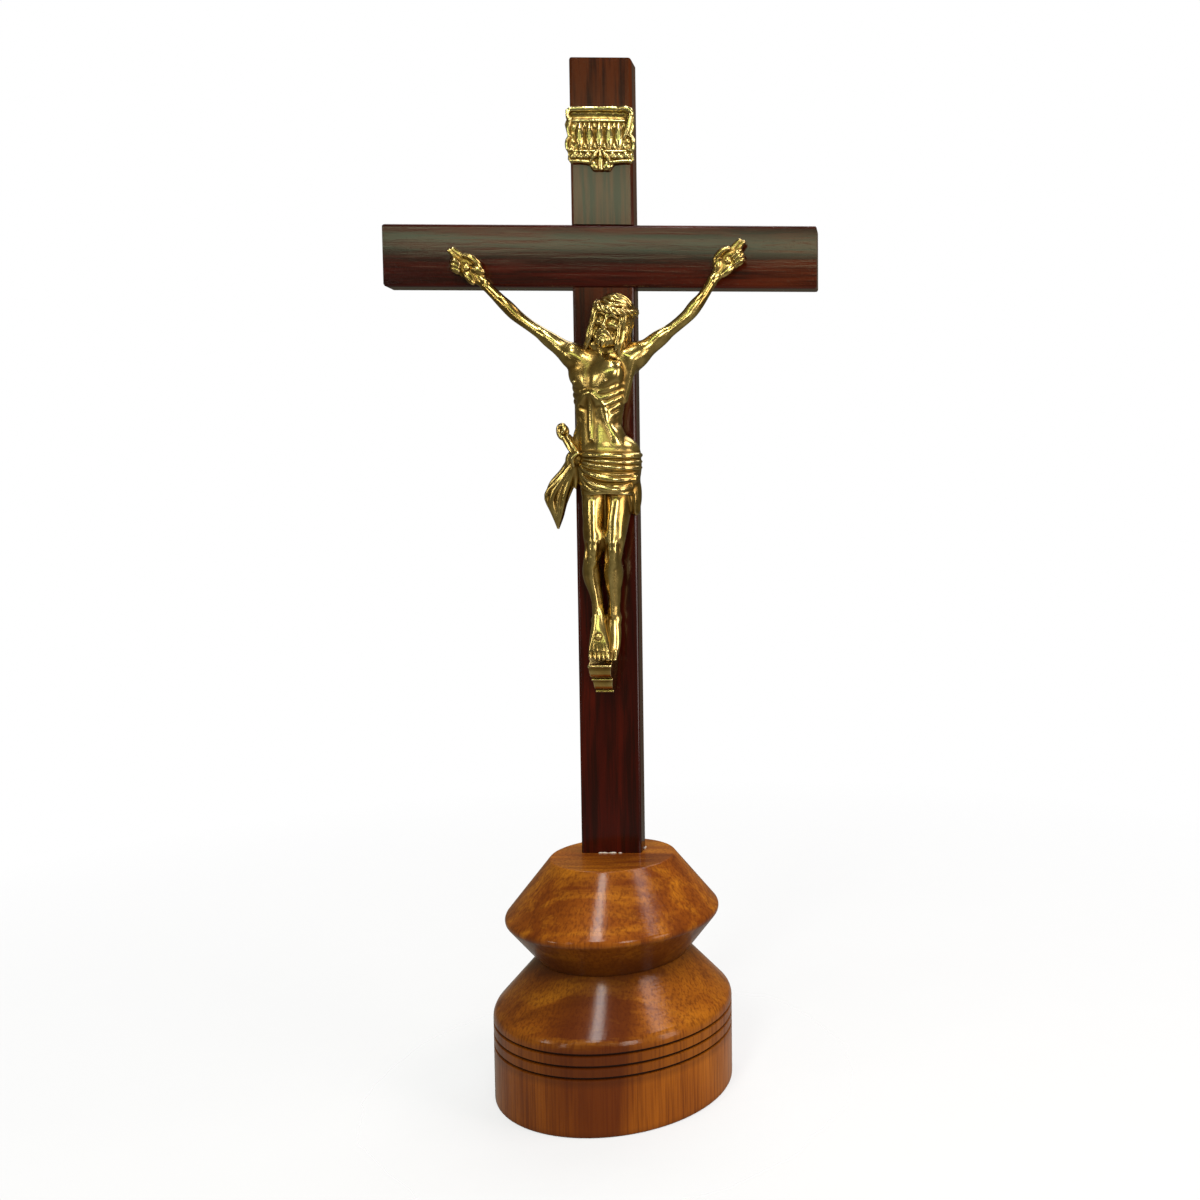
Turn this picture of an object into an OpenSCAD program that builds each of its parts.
// Standing altar cross: a half-lapped wooden cross set in a turned two-block base, with a
// cast brass figure, foot rest and title plaque fixed to it by brass pins.
// Origin: the base's turning axis at the resting face. +X runs along the crossbar,
// +Y towards the back, +Z up. All sizes are in millimetres.

/* [Wooden cross] */
// Height of the upright's top above the resting face
cross_top = 420.5; // [416:0.5:440]
// Width of both battens
batten_w = 25; // [25:0.5:28]
// Thickness of both battens
batten_t = 9; // [8.5:0.5:12]
// Length of the crossbar
bar_length = 175; // [150:1:200]
// Height of the crossbar's upper edge
bar_top = 355; // [350:1:362]
// Sideways offset of the upright from the base's axis
upright_x = -1; // [-2:0.5:2]
// Distance of the upright's front face behind the base's axis
upright_front = 1; // [-3:0.5:2]
// Sideways offset of the crossbar from the upright
bar_shift = -1; // [-3:0.5:3]
// Rounding of the battens' long edges
edge_r = 1.2; // [0.5:0.1:2]

/* [Turned base] */
// Height of the lower block
plinth_h = 56.5; // [54:0.5:60]
// Radius of the lower block's side
plinth_r = 48.5; // [46:0.5:60]
// Height where the lower block's slope meets its side
shoulder_z = 36.5; // [36:0.5:40]
// Radius where the two blocks meet
neck_r = 30.5; // [26:0.5:34]
// Height of the upper block
collar_h = 40.5; // [38:0.5:46]
// Radius of the upper block's ridge
ridge_r = 44; // [38:0.5:48]
// Height of the ridge above the joint between the blocks
ridge_z = 17; // [12:0.5:20]
// Radius of the upper block's top disc
disc_r = 25.3; // [22:0.1:28]
// Depth of the turned grooves
groove_d = 1.1; // [0.5:0.1:2]
// Width of the turned grooves
groove_w = 1.4; // [1:0.1:1.6]

/* [Brass fittings] */
// Distance from the upright's top down to the title plaque's middle
plaque_drop = 31; // [29:0.5:33]
// Thickness of the title plaque's plate
plaque_t = 1.3; // [1:0.1:2]
// Radius of the pins through the figure and the plaque
pin_r = 0.6; // [0.4:0.05:0.7]
// Depth that each pin goes into the wood
pin_grip = 6; // [4:0.5:7]

/* [Base screw] */
// Radius of the wood screw's thread
screw_r = 2; // [1.5:0.1:2.2]
// Length of the wood screw under its head
screw_length = 70; // [60:1:72]
// Depth of the screw's counterbore in the resting face
counterbore_depth = 18; // [14:0.5:19]

/* [Hidden] */

$fn = 96;
fit_gap = 0.05;
far = 200;
base_h = plinth_h + collar_h;
bar_z = bar_top - batten_w / 2;
upright_y = upright_front + batten_t / 2;

// Turned base
groove_heights = [23.5, 28, 32.7];
foot_edge_r = 1;
shoulder_round = 6;
ridge_round = 2.5;
disc_edge_r = 1.2;
joint_edge_r = 0.6;
spigot_r = 9;
spigot_h = 10;
tenon_w = 19;
tenon_t = 6;
tenon_h = 25;

// Screw and washer
counterbore_r = 4.8;
shank_clearance = 0.3;
washer_r = 4.5;
washer_t = 1;
screw_head_r = 3.8;
screw_head_h = 2.8;
slot_w = 1;
slot_d = 1.2;
thread_pitch = 1.75;
thread_turns = 22;
thread_root = 0.72;
point_h = 4;

// Pins: the hand and foot pins have domed heads, the plaque's brads flat ones
pin_head_r = 1.4;
pin_head_h = 0.9;
brad_head_r = 0.9;
brad_head_h = 0.6;
brad_places = [[-11, -2.2], [11, -2.2]];
hole_gap = 0.15;

// The figure is laid out from the point on the wood's front face where the upright's
// middle line crosses the crossbar's: x to the right, y to the back, z up.
hand_left_at = [-53.5, -5.6];
hand_right_at = [51.2, -2.4];
instep_at = [-1.2, -153.5];
palm_front = -4.4;
instep_front = -11.4;

wood_dark = "#4a1408";
wood_base = "#a3541c";
brass = "#c9a347";
brass_dark = "#a8842f";
steel = "#9a9da1";

// ---- Outlines ----

function unit(v) = v / norm(v);
function half_turn(a) = a > 180 ? a - 360 : (a < -180 ? a + 360 : a);

// Points of the arc of radius r that rounds corner c between its neighbours p and q
function fillet(p, c, q, r, n) =
    let (
        u = unit(p - c),
        v = unit(q - c),
        half = acos(u * v) / 2,
        middle = c + unit(u + v) * r / sin(half),
        from = c + u * r / tan(half) - middle,
        to = c + v * r / tan(half) - middle,
        a = atan2(from[1], from[0]),
        sweep = half_turn(atan2(to[1], to[0]) - a)
    )
    [for (i = [0:n]) middle + r * [cos(a + sweep * i / n), sin(a + sweep * i / n)]];

function corner(c) = [c[0], c[1]];

// Outline from a list of [x, y, corner radius]
function rounded(c, n = 6) =
    let (k = len(c))
    [for (i = [0:k - 1])
        each (c[i][2] > 0
            ? fillet(corner(c[(i + k - 1) % k]), corner(c[i]), corner(c[(i + 1) % k]), c[i][2], n)
            : [corner(c[i])])];

// Half of a symmetric outline, from bottom to top, and its mirror image
function both_sides(half) = concat(
    half,
    [for (i = [len(half) - 1:-1:0]) [-half[i][0], half[i][1], half[i][2]]]
);

// An outline in the XZ plane, given depth from the plane y = from backwards
module plate_y(from, depth, points) {
    translate([0, from + depth, 0])
        rotate([90, 0, 0])
            linear_extrude(depth)
                polygon(points);
}

// A round rod that runs back from the plane y = from
module rod_y(place, from, length, r) {
    translate([place[0], from, place[1]])
        rotate([-90, 0, 0])
            cylinder(h = length, r = r, $fn = 32);
}

// ---- Turned base ----

function groove(z) = [
    [plinth_r, z - groove_w / 2, 0],
    [plinth_r - groove_d, z - groove_w / 6, 0],
    [plinth_r - groove_d, z + groove_w / 6, 0],
    [plinth_r, z + groove_w / 2, 0]
];

plinth_profile = concat(
    [[0, 0, 0], [plinth_r, 0, foot_edge_r]],
    [for (z = groove_heights) each groove(z)],
    [[plinth_r, shoulder_z, shoulder_round], [neck_r, plinth_h, joint_edge_r], [0, plinth_h, 0]]
);

collar_profile = [
    [0, -spigot_h, 0],
    [spigot_r, -spigot_h, 0.8],
    [spigot_r, 0, 0],
    [neck_r, 0, joint_edge_r],
    [ridge_r, ridge_z, ridge_round],
    [disc_r, collar_h, disc_edge_r],
    [0, collar_h, 0]
];

module screw_line(z) {
    translate([upright_x, upright_y, z])
        children();
}

module base_plinth() {
    color(wood_base)
        difference() {
            rotate_extrude()
                polygon(rounded(plinth_profile));
            translate([0, 0, plinth_h - spigot_h - fit_gap])
                cylinder(h = spigot_h + 1, r = spigot_r + fit_gap);
            screw_line(-1)
                cylinder(h = counterbore_depth + 1, r = counterbore_r, $fn = 48);
            screw_line(-1)
                cylinder(h = plinth_h + 2, r = screw_r + shank_clearance, $fn = 48);
        }
}

module base_collar() {
    color(wood_base)
        difference() {
            translate([0, 0, plinth_h])
                rotate_extrude()
                    polygon(rounded(collar_profile));
            screw_line(base_h - tenon_h - fit_gap)
                tenon_block(tenon_h + 1, fit_gap);
            screw_line(plinth_h - spigot_h - 1)
                cylinder(h = collar_h + spigot_h, r = screw_r + shank_clearance, $fn = 48);
        }
}

module tenon_block(height, gap) {
    translate([-tenon_w / 2 - gap, -tenon_t / 2 - gap, 0])
        cube([tenon_w + 2 * gap, tenon_t + 2 * gap, height]);
}

// ---- Wooden cross ----

// A batten standing on z = 0 with its front face at y = 0
module batten(length, foot_r) {
    w = batten_w / 2;
    intersection() {
        linear_extrude(length)
            polygon(rounded([
                [-w, 0, edge_r],
                [w, 0, edge_r],
                [w, batten_t, edge_r],
                [-w, batten_t, edge_r]
            ]));
        plate_y(-1, batten_t + 2, rounded([
            [-w, 0, foot_r],
            [w, 0, foot_r],
            [w, length, edge_r],
            [-w, length, edge_r]
        ]));
    }
}

module at_crossing() {
    translate([upright_x, upright_front, bar_z])
        children();
}

module pin_holes() {
    r = pin_r + fit_gap;
    at_crossing() {
        for (place = [hand_left_at, hand_right_at, instep_at])
            rod_y(place, -1, pin_grip + 1 + fit_gap, r);
        for (place = brad_places)
            rod_y(place + [0, plaque_z()], -1, pin_grip + 1 + fit_gap, r);
    }
}

function plaque_z() = cross_top - plaque_drop - bar_z;

module upright() {
    half = batten_w / 2;
    color(wood_dark)
        difference() {
            union() {
                translate([upright_x, upright_front, base_h])
                    batten(cross_top - base_h, 0);
                screw_line(base_h - tenon_h)
                    tenon_block(tenon_h + 1, 0);
            }
            at_crossing()
                translate([-far / 2, -1, -half - fit_gap])
                    cube([far, batten_t / 2 + 1, batten_w + 2 * fit_gap]);
            screw_line(base_h - tenon_h - 1)
                cylinder(h = tenon_h, r = screw_r + fit_gap, $fn = 48);
            pin_holes();
        }
}

module crossbar() {
    half = batten_w / 2;
    color(wood_dark)
        difference() {
            translate([upright_x + bar_shift - bar_length / 2, upright_front, bar_z])
                rotate([0, 90, 0])
                    batten(bar_length, edge_r);
            at_crossing()
                translate([-half - fit_gap, batten_t / 2, -far / 2])
                    cube([batten_w + 2 * fit_gap, batten_t, far]);
            pin_holes();
        }
}

// ---- Cast figure ----

// Stations of a limb are [x, y, z, radius across, radius in depth]
function station(s) = [s[0], s[1], s[2]];
function heading(st, i) = unit(station(st[min(i + 1, len(st) - 1)]) - station(st[max(i - 1, 0)]));

function ring(st, i, n) =
    let (
        along = heading(st, i),
        across = unit(cross(along, [0, 1, 0])),
        deep = cross(across, along)
    )
    [for (k = [0:n - 1])
        station(st[i])
        + across * st[i][3] * cos(360 * k / n)
        + deep * st[i][4] * sin(360 * k / n)];

// Two more stations beyond an end close it with a dome
function dome(s, dir, reach) = [
    [for (a = [40, 72])
        let (p = station(s) + dir * reach * sin(a))
        [p[0], p[1], p[2], s[3] * cos(a), s[4] * cos(a)]]
];

function domed(st) =
    let (
        last = len(st) - 1,
        start = dome(st[0], -heading(st, 0), min(st[0][3], st[0][4]))[0],
        end = dome(st[last], heading(st, last), min(st[last][3], st[last][4]))[0]
    )
    concat([start[1], start[0]], st, end);

module limb(stations, n = 16) {
    st = domed(stations);
    m = len(st);
    points = [for (i = [0:m - 1]) each ring(st, i, n)];
    sides = [for (i = [0:m - 2]) for (k = [0:n - 1])
        let (a = i * n + k, b = i * n + (k + 1) % n)
        [a, b, b + n, a + n]];
    foot = [for (k = [n - 1:-1:0]) k];
    head = [for (k = [0:n - 1]) (m - 1) * n + k];
    polyhedron(points = points, faces = concat(sides, [foot, head]));
}

// A fold, lock or finger of even thickness along a few points
module strand(points, r, n = 10) {
    limb([for (p = points) [p[0], p[1], p[2], r, r]], n);
}

module torso() {
    limb([
        [3.4, -5.4, -37.5, 4.6, 5],
        [3.0, -5.0, -41, 10.5, 7.6],
        [2.6, -5.0, -46, 12.4, 9],
        [2.4, -5.0, -53, 11.9, 9.6],
        [2.0, -4.8, -59, 10.8, 8.8],
        [1.5, -4.6, -65.5, 9.8, 7.4],
        [2.0, -4.8, -72, 10.4, 7.6],
        [3.3, -5.0, -78.5, 12.2, 8.4]
    ], 24);
}

module loincloth() {
    limb([
        [3.5, -5.4, -80, 13, 8.8],
        [3.5, -5.8, -85, 13.2, 9.4],
        [3.0, -6.2, -92, 12, 9.4],
        [2.4, -6.8, -98.5, 10, 8]
    ], 24);
    strand([[-9, -9.5, -79.5], [0, -14.2, -80.5], [9.5, -13.6, -81.5], [15.6, -7.5, -82]], 1.3);
    strand([[-9, -10.5, -81], [-2, -15.2, -86], [7, -15.4, -92], [14, -8, -97]], 1.3);
    strand([[-9, -9.5, -82.5], [-5, -14.2, -91], [1, -15.2, -98], [7, -13.4, -101.5]], 1.3);
    strand([[15, -5.5, -84], [15.2, -5, -92], [14, -5, -100]], 2.2);
    strand([[-9, -8, -78.5], [-12.5, -6.5, -75], [-15.8, -5.5, -71.2]], 1.5);
    limb([
        [-10.5, -6.5, -80, 3.4, 2.4],
        [-13.6, -5.2, -86, 4.4, 2],
        [-17.4, -4.4, -93, 5, 1.8],
        [-19.4, -4.2, -99, 4.4, 1.6],
        [-18.8, -4, -106, 2.4, 1.4],
        [-18.6, -4, -109.6, 0.9, 0.9]
    ], 16);
}

module leg_right() {
    limb([
        [-2.4, -6.4, -92, 5.4, 6.4],
        [-2.8, -7.6, -101, 4.9, 6.2],
        [-2.7, -8.6, -110, 4.5, 5.6],
        [-2.5, -9.2, -118.5, 4.1, 5.2],
        [-3.1, -8, -125, 4.1, 4.6],
        [-3.3, -7, -131, 3.8, 4.2],
        [-2.7, -6.4, -138, 2.9, 3.4],
        [-2.1, -6.6, -144, 2.7, 3]
    ], 20);
    limb([
        [-1.8, -7, -146, 2.9, 3],
        [-1.5, -8.6, -152.5, 3.6, 2.6],
        [-1.5, -10.4, -158, 4.2, 1.9],
        [-1.6, -11.2, -160.6, 4.1, 1.5]
    ], 16);
    for (toe = [0:4])
        strand([[-4.9 + 1.6 * toe, -11.4, -160.5], [-4.8 + 1.55 * toe, -12, -162.6]], 0.85, 8);
}

module leg_left() {
    limb([
        [6.9, -6.4, -92, 5.6, 6.4],
        [7, -7.6, -101, 4.9, 6.2],
        [6.2, -8.6, -110, 4.4, 5.6],
        [5.3, -9.2, -119, 3.8, 5.2],
        [5, -8, -125.5, 3.8, 4.5],
        [4.8, -6.8, -131.5, 3.5, 4.1],
        [4, -5.6, -139, 2.8, 3.2],
        [3.5, -5.2, -145, 2.8, 2.9],
        [3.1, -5, -151, 3.3, 2.9],
        [2.4, -5.8, -158, 3.6, 2.2],
        [1.6, -6.8, -163, 3.4, 2]
    ], 20);
}

module head() {
    limb([
        [3.4, -6, -42, 4.4, 4.6],
        [5, -7.6, -34, 4.2, 4.6]
    ], 16);
    limb([
        [7.4, -7, -19.6, 4.6, 5],
        [7, -8, -22.5, 6.6, 7.4],
        [6.2, -9, -27.5, 6.6, 8],
        [5.4, -10.6, -32.5, 5.6, 6],
        [4.6, -12, -36, 3.2, 3.4]
    ], 24);
    strand([[6.3, -16.6, -26.4], [5.8, -17.4, -29.6]], 0.9, 8);
    strand([[2.6, -15.8, -25.6], [6.5, -16.8, -25.4], [10, -14.6, -26.6]], 0.7, 8);
    strand([[0.4, -8.4, -23], [-0.9, -9.4, -29], [-1.6, -9.4, -34], [-2.6, -9, -39.4]], 2.3, 12);
    strand([[13.2, -7, -25], [13.4, -8, -30], [12.6, -8.6, -35], [11.6, -9.2, -39.4]], 2.1, 12);
    for (turn = [0:30:150])
        strand([for (a = [turn:15:turn + 45])
            let (wave = 0.7 * cos(4 * a))
            [
                7 - 8.4 * cos(a),
                -8.2 - 8.2 * sin(a),
                -22.2 + 2.4 * cos(a) - 1.4 * sin(a) + wave
            ]], 1.1, 8);
}

module hand_left() {
    strand([[-57.6, -2.9, -1.3], [-60.8, -3, 2.7]], 0.9, 8);
    strand([[-58.6, -2.9, -2.3], [-61.6, -3.2, 1.3]], 0.9, 8);
    strand([[-59, -3.3, -4], [-57.4, -4.9, -3.2], [-55.3, -4.9, -4.2]], 0.95, 8);
    strand([[-58.6, -3.3, -6], [-57, -4.9, -5.2], [-55, -4.8, -6.6]], 0.95, 8);
    strand([[-57.4, -3.3, -8], [-55.8, -4.7, -7.4], [-54.2, -4.6, -8.6]], 0.9, 8);
    strand([[-48.8, -3.4, -7.4], [-50.8, -4, -3.6], [-53.6, -4.4, -1.6]], 1.2, 8);
}

module hand_right() {
    strand([[54.8, -2.9, 2.8], [57.6, -3.1, 6.4]], 1.05, 8);
    strand([[56.2, -2.9, 1.8], [59, -3.1, 5.2]], 1.05, 8);
    strand([[55.4, -3.3, 2], [53.4, -4.6, 1.6], [52.2, -4.6, 0.4]], 0.95, 8);
    strand([[56.2, -3.3, 0.2], [55.4, -4.6, -1.2], [54, -4.6, -1.4]], 0.95, 8);
    strand([[55.6, -3.3, -2.4], [54.6, -4.4, -4], [53, -4.5, -4.4]], 0.9, 8);
    strand([[47, -3.4, -4.6], [47.8, -4, -1], [50.2, -4.4, 1.6]], 1.2, 8);
}

module arm_left() {
    limb([
        [-3, -5.6, -45, 6, 6.4],
        [-10.5, -5.8, -41.4, 5.2, 5.6],
        [-17.3, -5.6, -36.5, 3.8, 4.2],
        [-23.4, -5.2, -32, 2.9, 3.2],
        [-30, -4.8, -27.6, 2.6, 2.8],
        [-34, -4.4, -24.6, 2.7, 2.8],
        [-39.5, -4, -19.4, 2.7, 2.7],
        [-45, -3.4, -13.8, 2.3, 2.2],
        [-47.6, -2.7, -10.9, 2.8, 2.3],
        [-51, -2.1, -8, 4.4, 2.35],
        [-54.5, -2.1, -5, 4.7, 2.35],
        [-57.4, -2.1, -2.6, 3.6, 2.1]
    ], 18);
    hand_left();
}

module arm_right() {
    limb([
        [8.6, -5.6, -45, 5.6, 6.4],
        [15.2, -5.8, -40.4, 4.3, 5.4],
        [21.9, -5.6, -34.9, 3.4, 4],
        [30.6, -5, -28.1, 2.8, 3.1],
        [35, -4.6, -24.2, 2.9, 2.9],
        [38.6, -4.2, -20.4, 2.8, 2.7],
        [42.2, -3.6, -14.6, 2.4, 2.3],
        [44.6, -2.8, -10.2, 2.6, 2.2],
        [47.4, -2.2, -6.3, 3.9, 2.35],
        [50.6, -2.1, -2.6, 4.9, 2.35],
        [53.4, -2.1, 0.4, 4.2, 2.3],
        [55.3, -2.2, 2.6, 2.7, 2]
    ], 18);
    hand_right();
}

// Where the separately cast arms are brazed on, seen from the front
left_arm_zone = [[-10.1, -34.3], [-16.9, -44.1], [-far, -44.1], [-far, far], [-35, far], [-14, -26]];
right_arm_zone = [[21.1, -41.9], [14.9, -34.1], [20, -25], [35, far], [far, far], [far, -41.9]];
// The foot rest's sloping top, seen from the side: depth and height
sole_back = -157.8;
sole_front = -164.8;
rest_depth = 13;

module figure_form() {
    difference() {
        union() {
            torso();
            loincloth();
            leg_right();
            leg_left();
            head();
            arm_left();
            arm_right();
        }
        translate([-far, 0, -far])
            cube([2 * far, far, 2 * far]);
        translate([far / 2, 0, 0])
            rotate([0, -90, 0])
                linear_extrude(far)
                    polygon([
                        [sole_back, 1],
                        [sole_front, -rest_depth],
                        [sole_front - 1, -far],
                        [-far, -far],
                        [-far, 1]
                    ]);
        for (place = [hand_left_at, hand_right_at, instep_at])
            rod_y(place, -far / 2, far, pin_r + hole_gap);
        rod_y(hand_left_at, palm_front - far, far, pin_head_r + hole_gap);
        rod_y(hand_right_at, palm_front - far, far, pin_head_r + hole_gap);
        rod_y(instep_at, instep_front - far, far, pin_head_r + hole_gap);
    }
}

module corpus_body() {
    color(brass)
        at_crossing()
            difference() {
                figure_form();
                plate_y(-far / 2, far, left_arm_zone);
                plate_y(-far / 2, far, right_arm_zone);
            }
}

module corpus_arm(zone) {
    at_crossing()
        intersection() {
            figure_form();
            plate_y(-far / 2, far, zone);
        }
}

module corpus_arm_left() {
    color(brass)
        corpus_arm(left_arm_zone);
}

module corpus_arm_right() {
    color(brass)
        corpus_arm(right_arm_zone);
}

// ---- Foot rest ----

rest_x = -0.6;
rest_top_half = 4.9;
rest_bottom_half = 3.6;
rest_foot = -177;
lip_h = 1.5;
cove_h = 4.6;
cove_steps = 8;

// A quarter hollow from [depth, height] that steps back by run and down by cove_h
function cove(from, run) = [for (i = [0:cove_steps])
    let (a = 90 * i / cove_steps)
    [from[0] + run * (1 - cos(a)), from[1] - cove_h * sin(a)]];

module foot_rest() {
    lip = sole_front - lip_h;
    middle = lip - cove_h;
    side = concat(
        [[0, sole_back], [-rest_depth, sole_front]],
        cove([-rest_depth + 0.2, lip], 4.6),
        [[-rest_depth + 4.8, middle - 0.9]],
        cove([-rest_depth + 5, middle - 0.9], 4),
        [[-rest_depth + 9, rest_foot], [0, rest_foot]]
    );
    color(brass_dark)
        at_crossing()
            intersection() {
                translate([rest_x + far / 2, 0, 0])
                    rotate([0, -90, 0])
                        linear_extrude(far)
                            polygon([for (p = side) [p[1], p[0]]]);
                plate_y(-far / 2, far, [
                    [rest_x - rest_bottom_half, rest_foot - 1],
                    [rest_x + rest_bottom_half, rest_foot - 1],
                    [rest_x + rest_top_half, sole_front],
                    [rest_x + rest_top_half, sole_back + 1],
                    [rest_x - rest_top_half, sole_back + 1],
                    [rest_x - rest_top_half, sole_front]
                ]);
            }
}

// ---- Title plaque ----

// Right half of the plaque's edge from the pendant up to the scroll
plaque_half = [
    [3.4, -13.6, 1.2],
    [5, -11, 0.8],
    [12.4, -11.3, 1.2],
    [13.4, -6.4, 0.8],
    [14.5, -3.6, 0.6],
    [14.5, -0.8, 0.6],
    [12.2, 1, 0.8],
    [13.6, 4, 0.8],
    [13.4, 9.6, 0.8]
];
scroll_r = 1.5;
scroll_z = 9.8;
scroll_half = 12.2;
field_half = 10.2;
field_top = 5.6;
field_foot = -5.8;
rim_w = 1.1;
rim_h = 0.7;
petal_count = 5;
petal_pitch = 3.9;
petal_w = 2.6;
petal_l = 9.4;
petal_h = 0.6;

// A pointed petal: two arcs that meet at its tips
function petal(x, w, l) = concat(
    [for (i = [0:12]) [x + w / 2 * sin(180 * i / 12), l / 2 * (1 - i / 6)]],
    [for (i = [1:11]) [x - w / 2 * sin(180 * i / 12), -l / 2 * (1 - i / 6)]]
);

module title_plaque() {
    middle = (field_top + field_foot) / 2;
    color(brass)
        at_crossing()
            translate([0, 0, plaque_z()])
                difference() {
                    union() {
                        plate_y(-plaque_t, plaque_t, rounded(both_sides(plaque_half), 4));
                        translate([-scroll_half, -plaque_t, scroll_z])
                            rotate([0, 90, 0])
                                cylinder(h = 2 * scroll_half, r = scroll_r, $fn = 32);
                        for (side = [-1, 1])
                            rod_y([side * scroll_half, scroll_z - 0.4], -plaque_t - 1.7, plaque_t + 1.7, 1.9);
                        difference() {
                            plate_y(-plaque_t - rim_h, plaque_t, rounded([
                                [-field_half - rim_w, field_foot - rim_w, 0.8],
                                [field_half + rim_w, field_foot - rim_w, 0.8],
                                [field_half + rim_w, field_top + rim_w, 0.8],
                                [-field_half - rim_w, field_top + rim_w, 0.8]
                            ], 4));
                            translate([-field_half, -plaque_t - 1, field_foot])
                                cube([2 * field_half, 1, field_top - field_foot]);
                        }
                        for (i = [0:petal_count - 1])
                            translate([0, 0, middle])
                                plate_y(
                                    -plaque_t - petal_h,
                                    plaque_t,
                                    petal(petal_pitch * (i - (petal_count - 1) / 2), petal_w, petal_l)
                                );
                    }
                    translate([-far / 2, 0, -far / 2])
                        cube([far, far, far]);
                    for (place = brad_places)
                        rod_y(place, -far / 2, far, pin_r + hole_gap);
                    for (place = brad_places)
                        rod_y(place, -plaque_t - far, far, brad_head_r + hole_gap);
                }
}

// ---- Pins ----

// A pin whose head rests on the plane y = seat and whose shank runs pin_grip into the wood
module pin(place, seat, head_r, head_h) {
    rod_y(place, seat, pin_grip - seat, pin_r);
    translate([place[0], seat, place[1]])
        rotate([90, 0, 0])
            rotate_extrude($fn = 32)
                polygon(concat(
                    [[0, 0]],
                    [for (a = [0:15:90]) [head_r * cos(a), head_h * sin(a)]]
                ));
}

module hand_nail_left() {
    color(brass)
        at_crossing()
            pin(hand_left_at, palm_front, pin_head_r, pin_head_h);
}

module hand_nail_right() {
    color(brass)
        at_crossing()
            pin(hand_right_at, palm_front, pin_head_r, pin_head_h);
}

module foot_nail() {
    color(brass)
        at_crossing()
            pin(instep_at, instep_front, pin_head_r, pin_head_h);
}

module plaque_pins() {
    color(brass)
        at_crossing()
            for (place = brad_places)
                pin(place + [0, plaque_z()], -plaque_t, brad_head_r, brad_head_h);
}

// ---- Base screw ----

screw_seat = counterbore_depth - washer_t;
thread_foot = screw_length - point_h - thread_turns * thread_pitch;

// Profile of the shank: plain near the head, then rings of thread and a point
screw_shank = concat(
    [[0, 0], [screw_r, 0], [screw_r, thread_foot]],
    [for (i = [0:thread_turns - 1]) each [
        [screw_r * thread_root, thread_foot + (i + 0.2) * thread_pitch],
        [screw_r * thread_root, thread_foot + (i + 0.5) * thread_pitch],
        [screw_r, thread_foot + (i + 0.9) * thread_pitch]
    ]],
    [[0, screw_length]]
);

module base_screw() {
    color(steel)
        screw_line(screw_seat)
            difference() {
                union() {
                    rotate_extrude($fn = 48)
                        polygon(screw_shank);
                    rotate_extrude($fn = 48)
                        polygon(concat(
                            [[0, 0], [screw_head_r, 0]],
                            [for (a = [0:15:90])
                                [1 + (screw_head_r - 1) * cos(a), -1 - (screw_head_h - 1) * sin(a)]],
                            [[0, -screw_head_h]]
                        ));
                }
                translate([-screw_head_r - 1, -slot_w / 2, -screw_head_h - 1])
                    cube([2 * screw_head_r + 2, slot_w, slot_d + 1]);
            }
}

module screw_washer() {
    color(steel)
        screw_line(screw_seat)
            difference() {
                cylinder(h = washer_t, r = washer_r, $fn = 48);
                translate([0, 0, -1])
                    cylinder(h = washer_t + 2, r = screw_r + shank_clearance, $fn = 48);
            }
}

base_plinth();
base_collar();
upright();
crossbar();
corpus_body();
corpus_arm_left();
corpus_arm_right();
foot_rest();
title_plaque();
hand_nail_left();
hand_nail_right();
foot_nail();
plaque_pins();
base_screw();
screw_washer();
